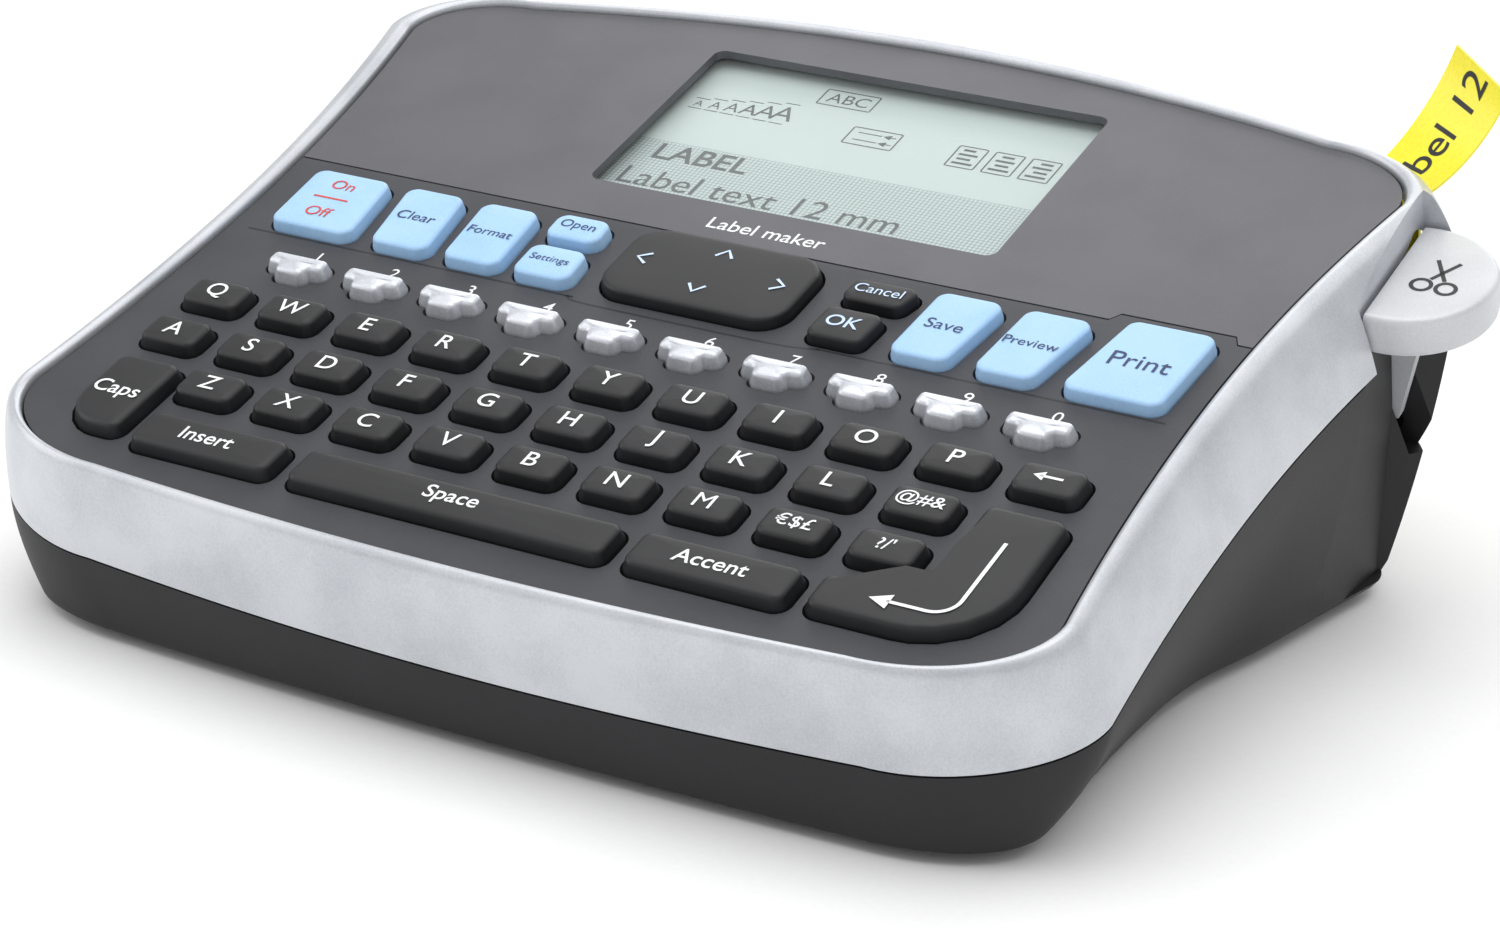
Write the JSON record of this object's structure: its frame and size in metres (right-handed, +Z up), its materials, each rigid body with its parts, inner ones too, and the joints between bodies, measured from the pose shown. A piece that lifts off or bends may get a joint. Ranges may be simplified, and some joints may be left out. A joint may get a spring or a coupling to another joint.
{
  "type": "label maker",
  "caption": "Desktop label maker with a sloping keyboard, a display, a hand cutter at the right rear corner and a printed label coming out of its slot.",
  "frame": {"origin": "middle of the footprint, on the table", "axes": "+Z up, +X to the right of a person at the keyboard, +Y from the front edge to the rear wall"},
  "size_m": [0.1736, 0.1308, 0.0698],
  "materials": {
    "battery_wrap": "blue shrink sleeve",
    "black_abs": "moulded black ABS with a fine spark-eroded texture",
    "blue_key": "light blue moulded keys",
    "cassette_grey": "grey polystyrene",
    "circuit_board": "glass-fibre circuit board",
    "clear_lens": "clear acrylic window",
    "cutter_grey": "light grey ABS",
    "foot_rubber": "dark rubber",
    "key_rubber": "black silicone rubber",
    "lcd_glass": "liquid crystal panel",
    "panel_black": "dark grey ABS keyboard panel, fine grain",
    "panel_grey": "grey semi-gloss display panel",
    "silver_key": "silver painted keys",
    "silver_paint": "silver metallic paint over ABS",
    "steel": "plated steel",
    "tape_yellow": "yellow laminated label tape",
    "white_acetal": "white acetal"
  },
  "bodies": {
    "housing": {"battery_pack": "battery_wrap", "bezel": "silver_paint", "cassette_body": "cassette_grey", "cutter_spring": "steel", "dc_jack": "black_abs", "display_panel": "panel_grey", "display_window": "clear_lens", "drive_motor": "steel", "foot_front_left": "foot_rubber", "foot_front_right": "foot_rubber", "foot_rear_left": "foot_rubber", "foot_rear_right": "foot_rubber", "housing_screw_front_left": "steel", "housing_screw_front_right": "steel", "housing_screw_rear_left": "steel", "housing_screw_rear_right": "steel", "keyboard_panel": "panel_black", "keypad_mat": "cassette_grey", "label_tape": "tape_yellow", "lcd_panel": "lcd_glass", "lower_housing": "black_abs", "main_board": "circuit_board", "print_head": "white_acetal"},
    "cutter": {"cutter_lever": "cutter_grey", "cutter_blade": "steel"},
    "platen": {"platen_roller": "key_rubber", "platen_gear": "white_acetal"},
    "idler": {"idler_gear": "white_acetal"},
    "motor_shaft": {"motor_gear": "white_acetal"},
    "spool": {"tape_spool": "tape_yellow"},
    "cassette_cover": {"cassette_door": "black_abs"},
    "battery_cover": {"battery_door": "black_abs"},
    "accent_key": {"accent_key": "key_rubber"},
    "backspace_key": {"backspace_key": "key_rubber"},
    "cancel_key": {"cancel_key": "key_rubber"},
    "caps_key": {"caps_key": "key_rubber"},
    "clear_key": {"clear_key": "blue_key"},
    "enter_key": {"enter_key": "key_rubber"},
    "format_key": {"format_key": "blue_key"},
    "insert_key": {"insert_key": "key_rubber"},
    "lower_keys_left": {"lower_keys_left": "key_rubber"},
    "lower_keys_right": {"lower_keys_right": "key_rubber"},
    "middle_keys_left": {"middle_keys_left": "key_rubber"},
    "middle_keys_right": {"middle_keys_right": "key_rubber"},
    "nav_pad": {"nav_pad": "key_rubber"},
    "number_keys_left": {"number_keys_left": "silver_key"},
    "number_keys_right": {"number_keys_right": "silver_key"},
    "ok_key": {"ok_key": "key_rubber"},
    "on_off_key": {"on_off_key": "blue_key"},
    "open_key": {"open_key": "blue_key"},
    "preview_key": {"preview_key": "blue_key"},
    "print_key": {"print_key": "blue_key"},
    "save_key": {"save_key": "blue_key"},
    "settings_key": {"settings_key": "blue_key"},
    "space_key": {"space_key": "key_rubber"},
    "upper_keys_left": {"upper_keys_left": "key_rubber"},
    "upper_keys_right": {"upper_keys_right": "key_rubber"}
  },
  "joints": [
    {"name": "accent_key_press", "type": "slide", "parent": "housing", "child": "accent_key", "axis": [0, 0.2798, -0.96], "range_m": [0, 0.001], "stiffness_N_per_m": 400, "springref_m": -0.0004},
    {"name": "backspace_key_press", "type": "slide", "parent": "housing", "child": "backspace_key", "axis": [0, 0.2798, -0.96], "range_m": [0, 0.001], "stiffness_N_per_m": 400, "springref_m": -0.0004},
    {"name": "cancel_key_press", "type": "slide", "parent": "housing", "child": "cancel_key", "axis": [0, 0.2798, -0.96], "range_m": [0, 0.001], "stiffness_N_per_m": 400, "springref_m": -0.0004},
    {"name": "caps_key_press", "type": "slide", "parent": "housing", "child": "caps_key", "axis": [0, 0.2798, -0.96], "range_m": [0, 0.001], "stiffness_N_per_m": 400, "springref_m": -0.0004},
    {"name": "clear_key_press", "type": "slide", "parent": "housing", "child": "clear_key", "axis": [0, 0.2798, -0.96], "range_m": [0, 0.001], "stiffness_N_per_m": 400, "springref_m": -0.0004},
    {"name": "enter_key_press", "type": "slide", "parent": "housing", "child": "enter_key", "axis": [0, 0.2798, -0.96], "range_m": [0, 0.001], "stiffness_N_per_m": 400, "springref_m": -0.0004},
    {"name": "format_key_press", "type": "slide", "parent": "housing", "child": "format_key", "axis": [0, 0.2798, -0.96], "range_m": [0, 0.001], "stiffness_N_per_m": 400, "springref_m": -0.0004},
    {"name": "insert_key_press", "type": "slide", "parent": "housing", "child": "insert_key", "axis": [0, 0.2798, -0.96], "range_m": [0, 0.001], "stiffness_N_per_m": 400, "springref_m": -0.0004},
    {"name": "lower_keys_left_press", "type": "slide", "parent": "housing", "child": "lower_keys_left", "axis": [0, 0.2798, -0.96], "range_m": [0, 0.001], "stiffness_N_per_m": 400, "springref_m": -0.0004},
    {"name": "lower_keys_right_press", "type": "slide", "parent": "housing", "child": "lower_keys_right", "axis": [0, 0.2798, -0.96], "range_m": [0, 0.001], "stiffness_N_per_m": 400, "springref_m": -0.0004},
    {"name": "middle_keys_left_press", "type": "slide", "parent": "housing", "child": "middle_keys_left", "axis": [0, 0.2798, -0.96], "range_m": [0, 0.001], "stiffness_N_per_m": 400, "springref_m": -0.0004},
    {"name": "middle_keys_right_press", "type": "slide", "parent": "housing", "child": "middle_keys_right", "axis": [0, 0.2798, -0.96], "range_m": [0, 0.001], "stiffness_N_per_m": 400, "springref_m": -0.0004},
    {"name": "nav_pad_press", "type": "slide", "parent": "housing", "child": "nav_pad", "axis": [0, 0.2798, -0.96], "range_m": [0, 0.001], "stiffness_N_per_m": 400, "springref_m": -0.0004},
    {"name": "number_keys_left_press", "type": "slide", "parent": "housing", "child": "number_keys_left", "axis": [0, 0.2798, -0.96], "range_m": [0, 0.001], "stiffness_N_per_m": 400, "springref_m": -0.0004},
    {"name": "number_keys_right_press", "type": "slide", "parent": "housing", "child": "number_keys_right", "axis": [0, 0.2798, -0.96], "range_m": [0, 0.001], "stiffness_N_per_m": 400, "springref_m": -0.0004},
    {"name": "ok_key_press", "type": "slide", "parent": "housing", "child": "ok_key", "axis": [0, 0.2798, -0.96], "range_m": [0, 0.001], "stiffness_N_per_m": 400, "springref_m": -0.0004},
    {"name": "on_off_key_press", "type": "slide", "parent": "housing", "child": "on_off_key", "axis": [0, 0.2798, -0.96], "range_m": [0, 0.001], "stiffness_N_per_m": 400, "springref_m": -0.0004},
    {"name": "open_key_press", "type": "slide", "parent": "housing", "child": "open_key", "axis": [0, 0.2798, -0.96], "range_m": [0, 0.001], "stiffness_N_per_m": 400, "springref_m": -0.0004},
    {"name": "preview_key_press", "type": "slide", "parent": "housing", "child": "preview_key", "axis": [0, 0.2798, -0.96], "range_m": [0, 0.001], "stiffness_N_per_m": 400, "springref_m": -0.0004},
    {"name": "print_key_press", "type": "slide", "parent": "housing", "child": "print_key", "axis": [0, 0.2798, -0.96], "range_m": [0, 0.001], "stiffness_N_per_m": 400, "springref_m": -0.0004},
    {"name": "save_key_press", "type": "slide", "parent": "housing", "child": "save_key", "axis": [0, 0.2798, -0.96], "range_m": [0, 0.001], "stiffness_N_per_m": 400, "springref_m": -0.0004},
    {"name": "settings_key_press", "type": "slide", "parent": "housing", "child": "settings_key", "axis": [0, 0.2798, -0.96], "range_m": [0, 0.001], "stiffness_N_per_m": 400, "springref_m": -0.0004},
    {"name": "space_key_press", "type": "slide", "parent": "housing", "child": "space_key", "axis": [0, 0.2798, -0.96], "range_m": [0, 0.001], "stiffness_N_per_m": 400, "springref_m": -0.0004},
    {"name": "upper_keys_left_press", "type": "slide", "parent": "housing", "child": "upper_keys_left", "axis": [0, 0.2798, -0.96], "range_m": [0, 0.001], "stiffness_N_per_m": 400, "springref_m": -0.0004},
    {"name": "upper_keys_right_press", "type": "slide", "parent": "housing", "child": "upper_keys_right", "axis": [0, 0.2798, -0.96], "range_m": [0, 0.001], "stiffness_N_per_m": 400, "springref_m": -0.0004},
    {"name": "cutter_press", "type": "slide", "parent": "housing", "child": "cutter", "axis": [0, 0.2798, -0.96], "range_m": [0, 0.0045], "stiffness_N_per_m": 700, "springref_m": -0.001, "deforming": ["cutter_spring"]},
    {"name": "platen_spin", "type": "hinge", "parent": "housing", "child": "platen", "pos_m": [0.05902, 0.04396, 0.0265], "axis": [0.829, -0.5592, 0], "continuous": true},
    {"name": "idler_spin", "type": "hinge", "parent": "housing", "child": "idler", "pos_m": [0.04775, 0.04406, 0.0148], "axis": [0.829, -0.5592, 0], "continuous": true},
    {"name": "motor_spin", "type": "hinge", "parent": "housing", "child": "motor_shaft", "pos_m": [0.04134, 0.03457, 0.0148], "axis": [0.829, -0.5592, 0], "continuous": true},
    {"name": "spool_spin", "type": "hinge", "parent": "housing", "child": "spool", "pos_m": [0.01649, 0.02336, 0.0175], "axis": [1, 0, 0], "continuous": true},
    {"name": "cassette_cover_swing", "type": "hinge", "parent": "housing", "child": "cassette_cover", "pos_m": [0.02449, 0.06298, 0.007], "axis": [-1, 0, 0], "range_deg": [0, 95]},
    {"name": "battery_cover_swing", "type": "hinge", "parent": "housing", "child": "battery_cover", "pos_m": [-0.03551, 0.06289, 0.007], "axis": [-1, 0, 0], "range_deg": [0, 95]}
  ],
  "couplings": [
    {"joint": "idler_spin", "follows": "platen_spin", "ratio": -0.66667},
    {"joint": "motor_spin", "follows": "platen_spin", "ratio": 1.6},
    {"joint": "spool_spin", "follows": "platen_spin", "ratio": 0.33333}
  ]
}
